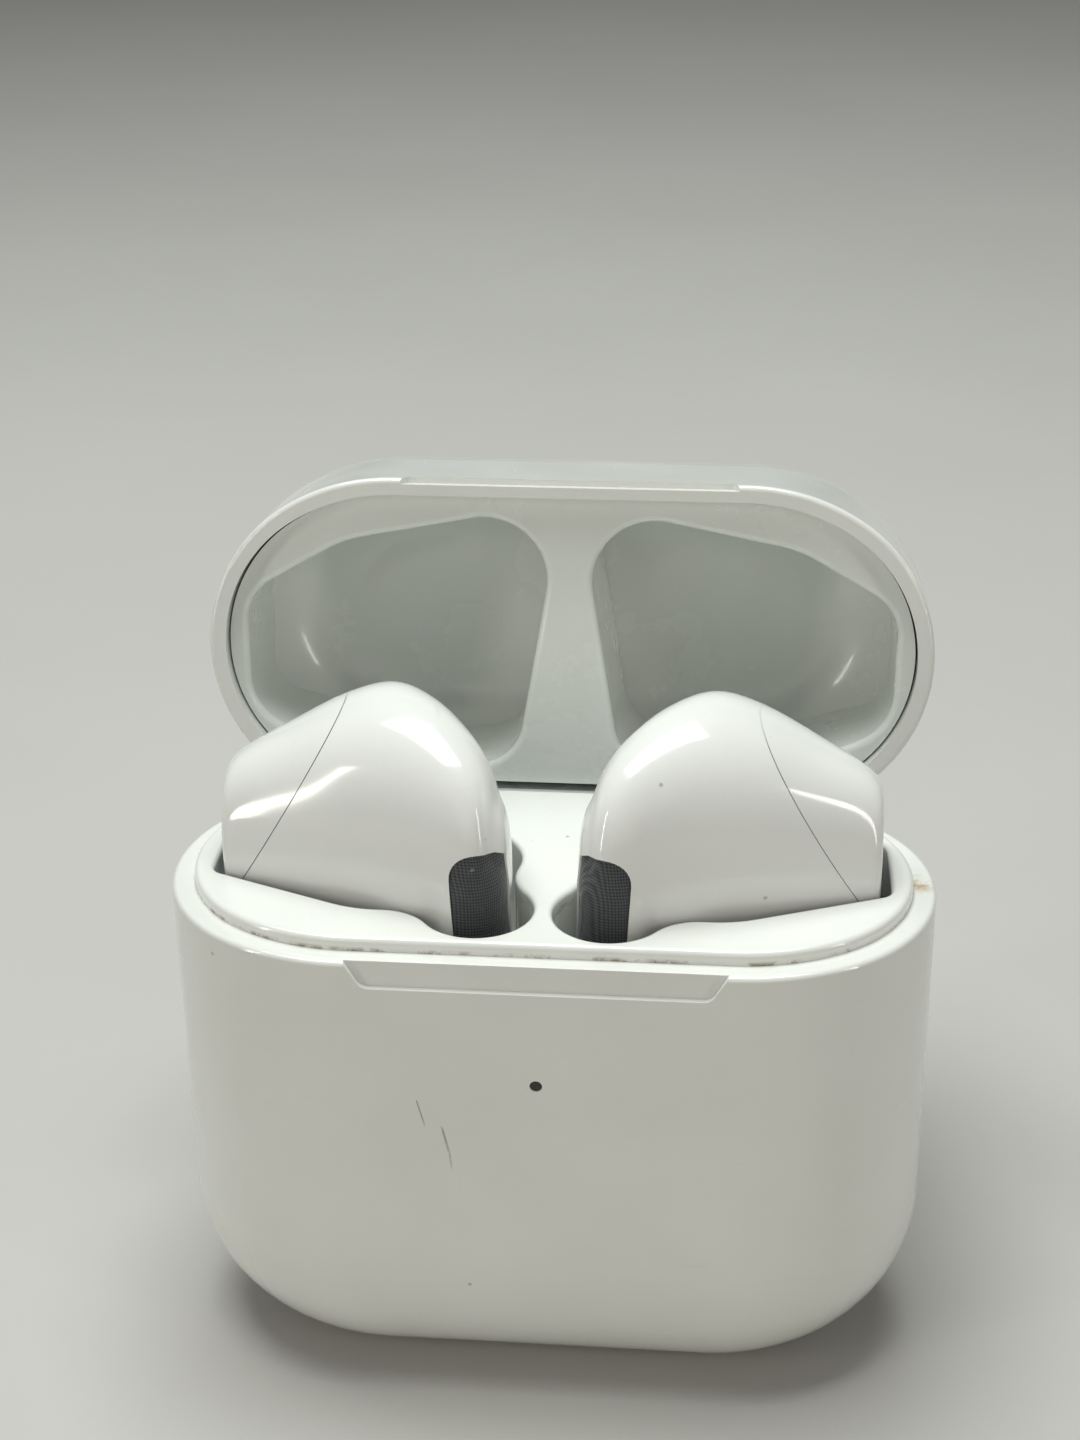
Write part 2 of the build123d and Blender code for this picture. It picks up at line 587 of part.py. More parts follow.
with BuildPart() as lid_liner:
    liner_inset = LID_WALL + CLEAR
    liner_top_z = LID_TOP_Z - LID_ROOF - CLEAR
    rounded_case(liner_inset, liner_top_z, LINER_FACE_Z, LID_ROUND)
    with BuildPart(mode=Mode.PRIVATE) as pockets:
        with BuildSketch(Plane.XY.offset(LINER_FACE_Z - 1)):
            rounded_hull(POCKET)
        extrude(amount=LID_HEIGHT)
        mirror(about=Plane.YZ)
        with BuildPart(mode=Mode.PRIVATE) as pocket_roof:
            roof_inset = liner_inset + LINER_SKIN
            rounded_case(roof_inset, liner_top_z - LINER_SKIN, LINER_FACE_Z - 2, LID_ROUND)
        add(pocket_roof.part, mode=Mode.INTERSECT)
    add(pockets.part, mode=Mode.SUBTRACT)
    # the moulding is hollow behind its face, but for a wall round each pocket
    with BuildPart(mode=Mode.PRIVATE) as liner_hollow:
        rounded_case(LID_WALL, LID_TOP_Z - LID_ROOF, LINER_FACE_Z + LINER_PLATE, LID_ROUND)
        with BuildPart(mode=Mode.PRIVATE) as pocket_walls:
            with BuildSketch(Plane.XY.offset(LINER_FACE_Z)):
                rounded_hull(POCKET, LINER_RIB)
            extrude(amount=2 * LID_HEIGHT)
            mirror(about=Plane.YZ)
        add(pocket_walls.part, mode=Mode.SUBTRACT)
    add(liner_hollow.part, mode=Mode.SUBTRACT)
    pocket_edges = lid_liner.faces().sort_by(Axis.Z)[0].inner_wires()
    fillet([edge for wire in pocket_edges for edge in wire.edges()], LINER_EDGE_R)
    # recess behind the liner for the hinge leaf and its screw heads
    with Locations((0, DECK_BACK_Y - CLEAR, LINER_FACE_Z - 1)):
        Box(
            2 * HINGE_SLOT_HALF,
            3,
            LINER_HINGE_RECESS,
            align=(Align.CENTER, Align.MIN, Align.MIN),
            mode=Mode.SUBTRACT,
        )
    for side in (-1, 1):
        with Locations((side * MAGNET_X, LID_MAGNET_Y, LINER_FACE_Z + LID_MAGNET_RISE - MAGNET_FIT)):
            Box(
                LID_MAGNET_SIZE[0] + 2 * MAGNET_FIT,
                LID_MAGNET_SIZE[1] + 2 * MAGNET_FIT,
                LID_MAGNET_SIZE[2] + 2 * MAGNET_FIT,
                align=UPWARD,
                mode=Mode.SUBTRACT,
            )
save_opened(lid_liner.part, "lid_liner")

with BuildPart() as lid_magnets:
    for side in (-1, 1):
        with Locations((side * MAGNET_X, LID_MAGNET_Y, LINER_FACE_Z + LID_MAGNET_RISE)):
            Box(*LID_MAGNET_SIZE, align=UPWARD)
save_opened(lid_magnets.part, "lid_magnets")

with BuildPart() as hinge_lid_leaf:
    with BuildSketch(Plane.XZ.offset(-LID_LEAF_Y)):
        with Locations((0, HINGE_Z + LID_LEAF_HEIGHT / 2)):
            Rectangle(2 * LID_KNUCKLE_HALF, LID_LEAF_HEIGHT)
    extrude(amount=LEAF_T)
    bar_along_x(KNUCKLE_R, -LID_KNUCKLE_HALF, LID_KNUCKLE_HALF)
    with BuildPart(mode=Mode.PRIVATE) as lid_leaf_bore:
        bar_along_x(PIN_R + PIN_FIT, -BARREL_HALF, BARREL_HALF)
    add(lid_leaf_bore.part, mode=Mode.SUBTRACT)
    for side in (-1, 1):
        with Locations(Location((side * LID_SCREW_X, LID_LEAF_Y, LID_SCREW_Z), (90, 0, 0))):
            Cylinder(SCREW_R, 2, mode=Mode.SUBTRACT)
save_opened(hinge_lid_leaf.part, "hinge_lid_leaf")

with BuildPart() as lid_hinge_screws:
    for side in (-1, 1):
        with Locations(Location((side * LID_SCREW_X, LID_LEAF_Y - LEAF_T, LID_SCREW_Z), (90, 0, 0))):
            Cylinder(SCREW_HEAD_R, SCREW_HEAD_T, align=UPWARD)
            Cylinder(SCREW_R - SCREW_FIT, LID_SCREW_LENGTH, align=DOWNWARD)
save_opened(lid_hinge_screws.part, "lid_hinge_screws")

# ================================================================ earbuds
seam_run = SEAM_BOTTOM[0] - SEAM_TOP[0]
seam_rise = SEAM_TOP[1] - SEAM_BOTTOM[1]
seam_plane = Plane(
    (SEAM_BOTTOM[0], 0, RIM_Z + SEAM_BOTTOM[1]),
    x_dir=(0, 1, 0),
    z_dir=(seam_rise, 0, seam_run),
)

with BuildPart() as bud_outer:
    head_solid(0)
    with Locations((STEM_X, STEM_Y, STEM_BOTTOM_Z)):
        Cylinder(STEM_R, STEM_TOP_Z - STEM_BOTTOM_Z, align=UPWARD)

with BuildPart() as bud_cavity:
    head_solid(BUD_WALL)
    with Locations((STEM_X, STEM_Y, STEM_BOTTOM_Z - 1)):
        Cylinder(STEM_R - STEM_WALL, STEM_TOP_Z - STEM_BOTTOM_Z, align=UPWARD)

with BuildPart() as vent_skin:
    with BuildSketch(Plane.XZ.offset(-STEM_Y)):
        with Locations((VENT_X, (VENT_Z[0] + VENT_Z[1]) / 2)):
            SlotOverall(VENT_Z[1] - VENT_Z[0], VENT_WIDTH, rotation=90)
    extrude(amount=4)
    add(bud_outer.part, mode=Mode.INTERSECT)
    add(bud_outer.part.translate((0, VENT_T, 0)), mode=Mode.SUBTRACT)

with BuildPart() as nozzle_mesh:
    with BuildSketch(Plane.YZ.offset(BUD_END_X - FLUSH)):
        with Locations((HEAD_SECTIONS[-1][1], NOZZLE_Z)):
            SlotOverall(NOZZLE_SIZE[1], NOZZLE_SIZE[0], rotation=90)
    extrude(amount=-MESH_T)

with BuildPart() as nozzle_mouth:
    with BuildSketch(Plane.YZ.offset(BUD_END_X + 1)):
        with Locations((HEAD_SECTIONS[-1][1], NOZZLE_Z)):
            SlotOverall(NOZZLE_SIZE[1], NOZZLE_SIZE[0], rotation=90)
    extrude(amount=-1 - BUD_WALL - MESH_T)

with BuildPart() as bud_shell:
    add(bud_outer.part)
    add(bud_cavity.part, mode=Mode.SUBTRACT)
    split(bisect_by=seam_plane, keep=Keep.BOTTOM)
    add(vent_skin.part, mode=Mode.SUBTRACT)
    with Locations((STEM_X, STEM_Y, STEM_BOTTOM_Z + TAIL_RING)):
        Cylinder(2 * STEM_R, 2 * STEM_R, align=DOWNWARD, mode=Mode.SUBTRACT)
save_pair(bud_shell.part, "shell")

with BuildPart() as bud_front:
    add(bud_outer.part)
    add(bud_cavity.part, mode=Mode.SUBTRACT)
    split(bisect_by=seam_plane, keep=Keep.TOP)
    add(nozzle_mouth.part, mode=Mode.SUBTRACT)
save_pair(bud_front.part, "front_cover")

save_pair(vent_skin.part, "vent_mesh")
save_pair(nozzle_mesh.part, "nozzle_mesh")

with BuildPart() as tail_ring:
    with Locations((STEM_X, STEM_Y, STEM_BOTTOM_Z)):
        Cylinder(STEM_R, TAIL_RING, align=UPWARD)
        Cylinder(STEM_R - STEM_WALL, 6 * TAIL_RING, mode=Mode.SUBTRACT)
    fillet(tail_ring.faces().sort_by(Axis.Z)[0].edges().sort_by(Edge.length)[-1], STEM_WALL / 2)
save_pair(tail_ring.part, "tail_ring")

with BuildPart() as tail_mesh:
    with Locations((STEM_X, STEM_Y, STEM_BOTTOM_Z + TAIL_MESH_RISE)):
        Cylinder(STEM_R - STEM_WALL - SCREW_FIT, MESH_T, align=UPWARD)
save_pair(tail_mesh.part, "tail_mesh")

with BuildPart() as stem_board:
    with Locations((STEM_X, STEM_Y, STEM_BOTTOM_Z + STEM_BOARD_RISE)):
        Box(*STEM_BOARD_SIZE, align=UPWARD)
save_pair(stem_board.part, "stem_board")

for (station, radius, thickness), name in ((DRIVER, "driver"), (BUD_CELL, "battery")):
    with BuildPart() as disc_part:
        with Locations(Location((station, BUD_CORE_Y, BUD_CORE_Z), (0, 90, 0))):
            Cylinder(radius, thickness)
        fillet(disc_part.edges(), DISC_EDGE_R)
    save_pair(disc_part.part, name)

with BuildPart() as bud_magnet:
    with Locations((BUD_MAGNET[0], BUD_CORE_Y, BUD_MAGNET_Z)):
        Cylinder(*BUD_MAGNET[1:], align=UPWARD)
save_pair(bud_magnet.part, "magnet")
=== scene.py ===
from math import cos, pi, radians, sin

import bmesh
import bpy
from mathutils import Matrix, Vector


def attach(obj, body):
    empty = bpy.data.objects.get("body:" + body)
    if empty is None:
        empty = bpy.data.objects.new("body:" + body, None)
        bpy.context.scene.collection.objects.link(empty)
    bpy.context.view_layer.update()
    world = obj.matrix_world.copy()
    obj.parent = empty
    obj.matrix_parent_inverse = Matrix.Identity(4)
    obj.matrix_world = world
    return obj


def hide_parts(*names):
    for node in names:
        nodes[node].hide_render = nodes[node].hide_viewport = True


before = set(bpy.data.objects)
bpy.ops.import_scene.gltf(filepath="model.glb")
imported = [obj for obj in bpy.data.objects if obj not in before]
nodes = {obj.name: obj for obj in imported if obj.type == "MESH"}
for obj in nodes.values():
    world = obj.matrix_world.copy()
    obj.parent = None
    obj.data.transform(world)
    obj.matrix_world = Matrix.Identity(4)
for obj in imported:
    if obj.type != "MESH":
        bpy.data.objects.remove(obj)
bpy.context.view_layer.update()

# Wireless earbuds case standing open, in metres. The case's front faces -Y and
# its flat underside rests on the floor at z = 0. The earbuds' forms are in mm.

MM = 0.001
RIM = 33.6                  # height of the base's rim in mm
RIM_Z = RIM * MM


# ---------------------------------------------------------------- shader helpers
class Shader:
    """A node material, built one node at a time."""

    def __init__(self, name):
        self.material = bpy.data.materials.new(name)
        self.material.use_nodes = True
        self.tree = self.material.node_tree
        self.bsdf = self.tree.nodes["Principled BSDF"]
        self.place = self.node("ShaderNodeTexCoord").outputs["Object"]

    def node(self, kind, inputs=None, **settings):
        made = self.tree.nodes.new(kind)
        for key, value in settings.items():
            setattr(made, key, value)
        for key, value in (inputs or {}).items():
            self.feed(made.inputs[key], value)
        return made

    def feed(self, socket, value):
        if isinstance(value, bpy.types.NodeSocket):
            self.tree.links.new(value, socket)
        else:
            socket.default_value = value

    def math(self, operation, first, second=0.0, clamp=False):
        inputs = {0: first, 1: second}
        return self.node("ShaderNodeMath", inputs, operation=operation, use_clamp=clamp).outputs[0]

    def vector_math(self, operation, first, second, output="Vector"):
        made = self.node("ShaderNodeVectorMath", {0: first, 1: second}, operation=operation)
        return made.outputs[output]

    def surface(self, inputs):
        """Feed the inputs of the material's own surface shader."""
        for key, value in inputs.items():
            self.feed(self.bsdf.inputs[key], value)

    def noise(self, scale, detail, roughness=0.5, stretch=None, turn=None):
        """Noise with a cell of about 1 / scale metres, optionally drawn out and turned."""
        place = self.place
        if stretch:
            mapping = {"Vector": place, "Scale": stretch, "Rotation": turn or (0, 0, 0)}
            place = self.node("ShaderNodeMapping", mapping).outputs[0]
        inputs = {"Vector": place, "Scale": scale, "Detail": detail, "Roughness": roughness}
        return self.node("ShaderNodeTexNoise", inputs).outputs[0]

    def ramp(self, value, low, high, from_value=0.0, to_value=1.0):
        """Map value from low..high to from_value..to_value, held at both ends."""
        inputs = {0: value, 1: low, 2: high, 3: from_value, 4: to_value}
        return self.node("ShaderNodeMapRange", inputs, clamp=True).outputs[0]

    def blend(self, share, first, second):
        """Mix two colours, on the mix node's own colour sockets."""
        made = self.node("ShaderNodeMix", data_type="RGBA")
        self.feed(made.inputs[0], share)
        self.feed(made.inputs[6], first)
        self.feed(made.inputs[7], second)
        return made.outputs[2]

    def bump(self, height, distance, strength):
        inputs = {"Height": height, "Distance": distance, "Strength": strength}
        self.surface({"Normal": self.node("ShaderNodeBump", inputs).outputs[0]})

    def near_line(self, start, end, width):
        """1 on a thin straight mark between two points, falling to 0 at its sides."""
        run = end - start
        offset = self.vector_math("SUBTRACT", self.place, start)
        along = self.vector_math("DOT_PRODUCT", offset, run, "Value")
        share = self.math("DIVIDE", along, run.length_squared, clamp=True)
        foot = self.node("ShaderNodeVectorMath", {0: run, "Scale": share}, operation="SCALE")
        gap = self.vector_math("DISTANCE", offset, foot.outputs[0], "Value")
        return self.ramp(gap, width * 0.4, width, 1.0, 0.0)

    def near_point(self, centre, radius):
        """1 around a point, fading to 0 at the radius."""
        gap = self.vector_math("DISTANCE", self.place, Vector(centre), "Value")
        return self.ramp(gap, radius * 0.35, radius, 1.0, 0.0)


def white_plastic(name, light, shade, gloss, specks, marks=()):
    """Glossy moulded plastic with faint mottling, hairline scratches and specks.

    gloss is the (polished, handled) roughness, and specks says how common they
    are. Each mark is a function that returns a mask and the colour and strength
    that it is painted with.
    """
    s = Shader(name)
    colour = s.blend(s.ramp(s.noise(90, 4), 0.35, 0.65), light, shade)

    # Hairlines in two directions, broken into patches
    hair_a = s.noise(260, 2, 0.5, (1.0, 1.0, 22.0), (0.5, 0.35, 0.2))
    hair_b = s.noise(240, 2, 0.5, (24.0, 1.0, 1.0), (0.2, 0.9, 0.6))
    hairs = s.math("MAXIMUM", s.ramp(hair_a, 0.70, 0.74), s.ramp(hair_b, 0.71, 0.75))
    patchy = s.ramp(s.noise(160, 2), 0.48, 0.62)
    scratches = s.math("MULTIPLY", hairs, patchy)
    colour = s.blend(s.math("MULTIPLY", scratches, 0.10), colour, DIRT)

    # A dot in each cell, kept only where the noise is high
    voronoi = {"Vector": s.place, "Scale": 420.0, "Randomness": 1.0}
    cells = s.node("ShaderNodeTexVoronoi", voronoi)
    dot = s.ramp(cells.outputs["Distance"], 0.035, 0.075, 1.0, 0.0)
    rare = s.ramp(s.noise(330, 1), 0.62 - 0.05 * specks, 0.64 - 0.05 * specks)
    dots = s.math("MULTIPLY", dot, rare)
    colour = s.blend(s.math("MULTIPLY", dots, 0.55), colour, DIRT)

    for mark in marks:
        mask, paint, strength = mark(s)
        colour = s.blend(s.math("MULTIPLY", mask, strength), colour, paint)
    wear = s.ramp(s.noise(130, 5, 0.6), 0.4, 0.75, gloss[0], gloss[1])
    s.surface({
        "Base Color": colour,
        "Roughness": s.math("ADD", wear, s.math("MULTIPLY", scratches, 0.25)),
        "IOR": 1.5,
        "Coat Weight": 0.35,
        "Coat Roughness": 0.06,
        "Subsurface Weight": 0.12,
        "Subsurface Radius": (0.9 * MM, 0.8 * MM, 0.6 * MM),
    })
    fine = s.noise(2600, 3, 0.6)
    s.bump(s.math("SUBTRACT", s.math("MULTIPLY", fine, 0.25), scratches), 0.012 * MM, 0.5)
    return s.material


def woven_mesh(name, pitch):
    """Fine charcoal cloth-like mesh of crossed threads on the diagonal."""
    s = Shader(name)
    split = s.node("ShaderNodeSeparateXYZ", {0: s.place})
    across, depth, height = split.outputs
    side = s.math("ADD", across, depth)
    wave = 2 * pi / pitch
    first = s.math("SINE", s.math("MULTIPLY", s.math("ADD", side, height), wave))
    second = s.math("SINE", s.math("MULTIPLY", s.math("SUBTRACT", side, height), wave))
    weave = s.math("MULTIPLY", first, second)
    height_map = s.ramp(weave, -0.7, 0.7)
    colour = s.blend(height_map, (0.012, 0.013, 0.015, 1), (0.075, 0.085, 0.095, 1))
    lint = s.ramp(s.noise(900, 2), 0.70, 0.74)
    colour = s.blend(s.math("MULTIPLY", lint, 0.45), colour, (0.35, 0.36, 0.36, 1))
    rough = s.ramp(s.noise(1500, 3), 0.3, 0.7, 0.5, 0.75)
    s.surface({"Base Color": colour, "Roughness": rough, "Sheen Weight": 0.25})
    s.bump(height_map, 0.05 * MM, 0.8)
    return s.material


def metal(name, dark, light, roughness, grain=(1, 1, 1), metallic=1.0):
    """Metal with drawn grain, fine scratches and a slightly uneven tone."""
    s = Shader(name)
    lines = s.noise(900, 4, 0.6, grain)
    tone = s.noise(150, 3)
    mixed = s.math("ADD", s.math("MULTIPLY", lines, 0.5), tone)
    colour = s.blend(s.ramp(mixed, 0.5, 1.0), dark, light)
    rough = s.ramp(lines, 0.3, 0.7, roughness - 0.08, roughness + 0.12)
    s.surface({"Base Color": colour, "Roughness": rough, "Metallic": metallic})
    s.bump(lines, 0.01 * MM, 0.4)
    return s.material


def matte(name, dark, light, roughness, cell):
    """Dull moulded or laminated material with a fine uneven surface."""
    s = Shader(name)
    grain = s.noise(cell, 4, 0.65)
    broad = s.noise(cell / 8, 2)
    colour = s.blend(s.ramp(s.math("ADD", grain, broad), 0.8, 1.2), dark, light)
    rough = s.ramp(grain, 0.3, 0.7, roughness - 0.08, roughness + 0.08)
    s.surface({"Base Color": colour, "Roughness": rough})
    s.bump(grain, 0.03 * MM, 0.5)
    return s.material


# ---------------------------------------------------------------- materials
DIRT = (0.30, 0.22, 0.13, 1)
BROWN = (0.20, 0.13, 0.07, 1)
OCHRE = (0.42, 0.28, 0.10, 1)


def rim_crease_shade(s):
    """Painted shade: brown patches that darken the crease where the cradle meets the rim, along the
    front.
    """
    split = s.node("ShaderNodeSeparateXYZ", {0: s.place})
    from_rim = s.math("ABSOLUTE", s.math("SUBTRACT", split.outputs[2], RIM_Z))
    near_rim = s.ramp(from_rim, 0.08 * MM, 0.34 * MM, 1.0, 0.0)
    patches = s.ramp(s.noise(420, 4, 0.7), 0.50, 0.60)
    front = s.ramp(split.outputs[1], -2.0 * MM, -6.0 * MM)
    return s.math("MULTIPLY", s.math("MULTIPLY", near_rim, patches), front), BROWN, 0.75


def front_scratch(s):
    """The long hairline low on the front wall, left of the middle."""
    # Start, end and width of each stretch in mm
    lines = (
        ((-6.2, -11.85, 22.4), (-5.6, -11.85, 19.6), 0.10),
        ((-5.6, -11.85, 19.6), (-5.25, -11.6, 15.6), 0.085),
        ((-7.6, -11.85, 23.6), (-7.1, -11.85, 21.6), 0.07),
    )
    mask = None
    for start, end, width in lines:
        near = s.near_line(Vector(start) * MM, Vector(end) * MM, width * MM)
        mask = near if mask is None else s.math("MAXIMUM", mask, near)
    broken = s.ramp(s.noise(700, 2), 0.36, 0.5)
    return s.math("MULTIPLY", mask, broken), BROWN, 0.6


def rim_smudge(s):
    """Yellow-brown smudge on the rim at the back of the right end."""
    spot = s.near_point((23.6 * MM, 0.5 * MM, RIM_Z), 1.5 * MM)
    return s.math("MULTIPLY", spot, s.ramp(s.noise(900, 4, 0.7), 0.45, 0.6)), OCHRE, 0.8


case_white = white_plastic(
    "case_white", (0.80, 0.81, 0.78, 1), (0.77, 0.78, 0.745, 1), (0.10, 0.24), 0.25,
    marks=(front_scratch, rim_smudge),
)
lid_white = white_plastic(
    "lid_white", (0.80, 0.81, 0.78, 1), (0.77, 0.78, 0.75, 1), (0.10, 0.24), 0.25,
)
# The cradle carries painted shade, in brown patches, in the crease where it meets the rim
cradle_white = white_plastic(
    "cradle_white", (0.82, 0.83, 0.80, 1), (0.79, 0.80, 0.77, 1), (0.16, 0.30), 0.5,
    marks=(rim_crease_shade,),
)
liner_white = white_plastic(
    "liner_white", (0.79, 0.82, 0.79, 1), (0.76, 0.79, 0.75, 1), (0.20, 0.34), 1.0,
)
bud_white = white_plastic(
    "bud_white", (0.84, 0.85, 0.83, 1), (0.81, 0.82, 0.80, 1), (0.07, 0.20), 0.6,
)
button_white = white_plastic(
    "button_white", (0.76, 0.77, 0.74, 1), (0.73, 0.74, 0.71, 1), (0.22, 0.36), 0.4,
)
charcoal_mesh = woven_mesh("charcoal_mesh", 0.42 * MM)
nozzle_weave = woven_mesh("nozzle_weave", 0.36 * MM)
hinge_steel = metal(
    "hinge_steel", (0.66, 0.67, 0.65, 1), (0.80, 0.81, 0.79, 1), 0.42, (30, 1, 1), 0.25,
)
screw_steel = metal("screw_steel", (0.30, 0.30, 0.31, 1), (0.52, 0.52, 0.52, 1), 0.34)
socket_steel = metal("socket_steel", (0.40, 0.41, 0.42, 1), (0.58, 0.58, 0.59, 1), 0.28, (1, 1, 20))
ring_metal = metal("ring_metal", (0.55, 0.55, 0.56, 1), (0.78, 0.78, 0.79, 1), 0.16, (1, 1, 25))
gold_contact = metal("gold_contact", (0.55, 0.38, 0.14, 1), (0.85, 0.64, 0.30, 1), 0.25)
magnet_nickel = metal("magnet_nickel", (0.42, 0.42, 0.42, 1), (0.64, 0.63, 0.62, 1), 0.22)
cell_foil = metal("cell_foil", (0.40, 0.41, 0.43, 1), (0.62, 0.63, 0.65, 1), 0.38, (4, 1, 1))
coil_copper = metal("coil_copper", (0.38, 0.14, 0.06, 1), (0.78, 0.36, 0.18, 1), 0.32)
foam_black = matte("foam_black", (0.012, 0.012, 0.012, 1), (0.05, 0.05, 0.05, 1), 0.85, 2500)
board_green = matte("board_green", (0.010, 0.06, 0.035, 1), (0.03, 0.15, 0.08, 1), 0.42, 1200)
tongue_black = matte("tongue_black", (0.012, 0.012, 0.013, 1), (0.04, 0.04, 0.042, 1), 0.45, 2000)
ferrite_grey = matte("ferrite_grey", (0.03, 0.03, 0.033, 1), (0.09, 0.09, 0.095, 1), 0.6, 1500)
lens_smoke = matte("lens_smoke", (0.020, 0.016, 0.012, 1), (0.06, 0.045, 0.03, 1), 0.18, 900)

NODE_MATERIAL = {
    "base_shell": case_white,
    "cradle": cradle_white,
    "hinge_base_leaf": hinge_steel,
    "hinge_pin": screw_steel,
    "base_hinge_screws": screw_steel,
    "battery_cells": cell_foil,
    "battery_foam": foam_black,
    "usb_receptacle": socket_steel,
    "usb_tongue": tongue_black,
    "main_board": board_green,
    "charging_coil": coil_copper,
    "coil_ferrite": ferrite_grey,
    "button_switch": board_green,
    "led_light_pipe": lens_smoke,
    "led_board": board_green,
    "closing_magnets": magnet_nickel,
    "well_magnets": magnet_nickel,
    "contact_pins": gold_contact,
    "setup_button": button_white,
    "lid_shell": lid_white,
    "lid_liner": liner_white,
    "lid_magnets": magnet_nickel,
    "hinge_lid_leaf": hinge_steel,
    "lid_hinge_screws": screw_steel,
}
BUD_MATERIAL = {
    "shell": bud_white,
    "front_cover": bud_white,
    "vent_mesh": charcoal_mesh,
    "nozzle_mesh": nozzle_weave,
    "tail_ring": ring_metal,
    "tail_mesh": nozzle_weave,
    "stem_board": board_green,
    "driver": socket_steel,
    "battery": cell_foil,
    "magnet": magnet_nickel,
}
for side in ("left", "right"):
    for piece, material in BUD_MATERIAL.items():
        NODE_MATERIAL[f"bud_{side}_{piece}"] = material

for name, material in NODE_MATERIAL.items():
    nodes[name].data.materials.clear()
    nodes[name].data.materials.append(material)


# ---------------------------------------------------------------- earbud forms
# Right-hand earbud in mm. Each section of the head is x, centre y, half-depth,
# and the heights of its top and bottom above the rim.
HEAD_SECTIONS = (
    (2.9, -4.2, 2.6, 7.6, -2.2),
    (3.6, -3.8, 4.1, 9.4, -3.4),
    (4.9, -2.8, 5.2, 10.9, -4.6),
    (7.4, -0.8, 6.3, 12.2, -5.7),
    (10.4, 0.9, 7.0, 12.55, -6.2),
    (13.6, 1.2, 6.35, 11.6, -5.6),
    (17.2, 1.1, 5.05, 9.7, -4.6),
    (20.2, 0.9, 3.8, 8.0, -3.9),
    (21.35, 0.8, 3.35, 6.9, -3.3),
)
FULLNESS = 2.25             # superellipse power of each section
STEM = (4.4, -5.9, 2.6)     # x, y, radius
STEM_TOP = (4.6, -5.75, 2.5)        # the same where it runs into the head
STEM_HEIGHTS = (14.6, 20, 26, 30)   # z of the stem's rings
STEM_TOP_Z = 34             # where STEM_TOP starts
STEM_DOME_Z = 36.4          # where the stem's round top starts
STEM_DOME = (20, 40, 60, 78)        # degrees up the round top
STEM_CUT_Z = 16.1           # top of the tail ring, where the plastic ends
INNER_BULGE = 0.8           # how far the head's inner end domes past its first section
INNER_DOME = (0.99, 0.85, 0.6, 0.3)         # shares of that bulge
OUTER_ROUND = ((0.12, 0.985), (0.0, 0.93))  # inward step and scale at the outer end
HEAD_POINTS = 72
HEAD_SLICES = 64
STEM_POINTS = 48
ARC_STEPS = 16
VENT = (3.95, 3.7, 28.2, 39.2)      # x at the top, width, lowest and highest z
VENT_LEAN = 0.06            # sideways run per mm of height
VENT_DEPTH = (-12.0, -5.6)  # y that its cutter spans
NOZZLE = (0.8, 4.4, 32.9, 38.9)     # centre y, width, lowest and highest z
NOZZLE_DEPTH = (20.6, 23.0)         # x that its cutter spans
SEAM_POINT = (20.2, RIM)    # x and z
SEAM_NORMAL = (12.2, 7.2)
SEAM_GAP = 0.05
VOXEL = 0.2
SOFTENING = 36              # passes of smoothing
INSET = 0.12                # how far the vent's mesh sits below the skin
MESH_CLEARANCE = 0.03       # between that mesh and the sides of its slot
MESH_END_X = 12.0           # the nozzle's part of the mesh lies past this
SHARP_ANGLE = 40            # degrees


def between(table, share):
    """Row of a table at a share of its length, on a smooth curve through its rows."""
    spot = share * (len(table) - 1)
    low = min(int(spot), len(table) - 2)
    t = spot - low
    rows = [table[min(max(low + k, 0), len(table) - 1)] for k in (-1, 0, 1, 2)]
    return [
        0.5 * (2 * b + (c - a) * t + (2 * a - 5 * b + 4 * c - d) * t**2
               + (3 * b - a - 3 * c + d) * t**3)
        for a, b, c, d in zip(*rows)
    ]


def add_loft(bm, rings):
    """Skin a closed solid over rings of points in mm, which all have the same count."""
    loops = [[bm.verts.new(Vector(point) * MM) for point in ring] for ring in rings]
    for lower, upper in zip(loops, loops[1:]):
        for k in range(len(lower)):
            after = (k + 1) % len(lower)
            bm.faces.new((lower[k], lower[after], upper[after], upper[k]))
    bm.faces.new(loops[0][::-1])
    bm.faces.new(loops[-1])


def head_ring(x, centre_y, half_y, top, bottom, scale=1.0):
    """One superellipse section of the head, in the plane across X."""
    ring = []
    for k in range(HEAD_POINTS):
        angle = 2 * pi * k / HEAD_POINTS
        side, rise = cos(angle), sin(angle)
        reach = (abs(side) ** FULLNESS + abs(rise) ** FULLNESS) ** (-1 / FULLNESS) * scale
        y = centre_y + half_y * side * reach
        z = RIM + (top + bottom) / 2 + (top - bottom) / 2 * rise * reach
        ring.append((x, y, z))
    return ring


def disc_ring(centre_x, centre_y, radius, z):
    """One round section of the stem, in the plane across Z."""
    angles = [2 * pi * k / STEM_POINTS for k in range(STEM_POINTS)]
    return [(centre_x + radius * cos(a), centre_y + radius * sin(a), z) for a in angles]


def new_object(name, bm):
    bmesh.ops.recalc_face_normals(bm, faces=bm.faces)
    mesh = bpy.data.meshes.new(name)
    bm.to_mesh(mesh)
    bm.free()
    made = bpy.data.objects.new(name, mesh)
    bpy.context.scene.collection.objects.link(made)
    return made


def settle(obj):
    """Apply an object's modifiers to its mesh."""
    depsgraph = bpy.context.evaluated_depsgraph_get()
    settled = bpy.data.meshes.new_from_object(obj.evaluated_get(depsgraph))
    obj.modifiers.clear()
    obj.data = settled
    return obj


